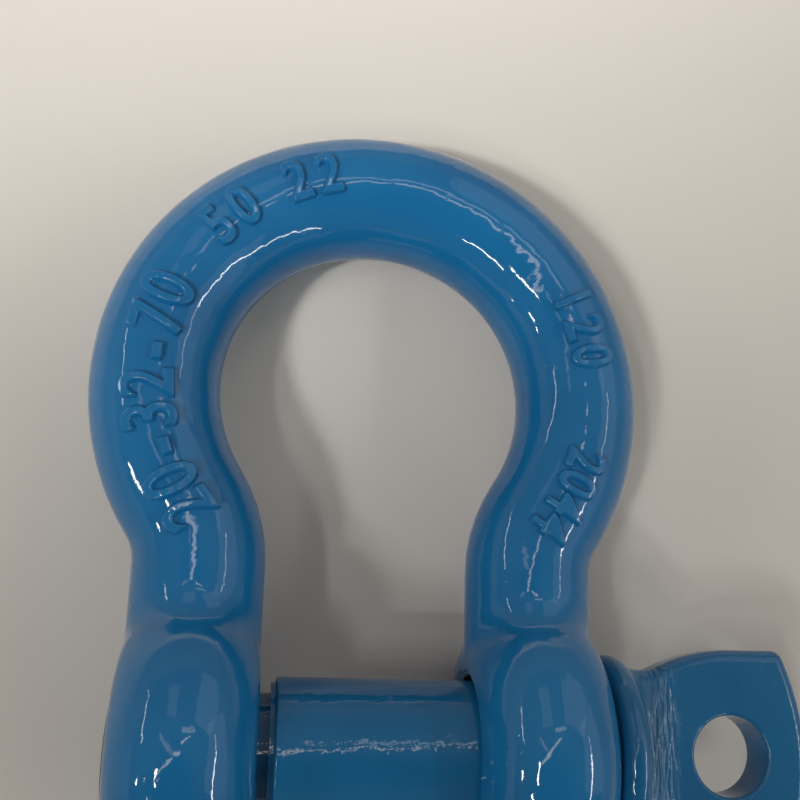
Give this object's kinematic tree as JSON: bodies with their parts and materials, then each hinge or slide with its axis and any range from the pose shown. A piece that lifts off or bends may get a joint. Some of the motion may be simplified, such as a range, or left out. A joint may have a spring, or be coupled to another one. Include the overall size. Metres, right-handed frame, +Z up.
{
  "type": "screw pin bow shackle",
  "caption": "Forged bow shackle with a screw pin, lying on its side: a rounded bow with two ears, and a pin with a collar and a flat eye tang.",
  "frame": {"origin": "on the pin's axis, midway between the faces of the jaw", "axes": "+X along the pin towards its tang, +Z up; the shackle lies on its side on both ears and the crown, so the crown lies towards +Y and the plane of the bow is tipped about X by about 7.6 degrees"},
  "size_m": [0.1175, 0.1231, 0.0444],
  "materials": {
    "bow_paint": "glossy blue paint over forged steel",
    "pin_paint": "glossy blue paint over forged steel"
  },
  "bodies": {
    "bow_body": {"bow": "bow_paint"},
    "pin_body": {"screw_pin": "pin_paint"}
  },
  "joints": [
    {"name": "pin_draw", "type": "slide", "parent": "bow_body", "child": "pin_body", "axis": [1, 0, 0], "range_m": [0, 0.11]}
  ]
}
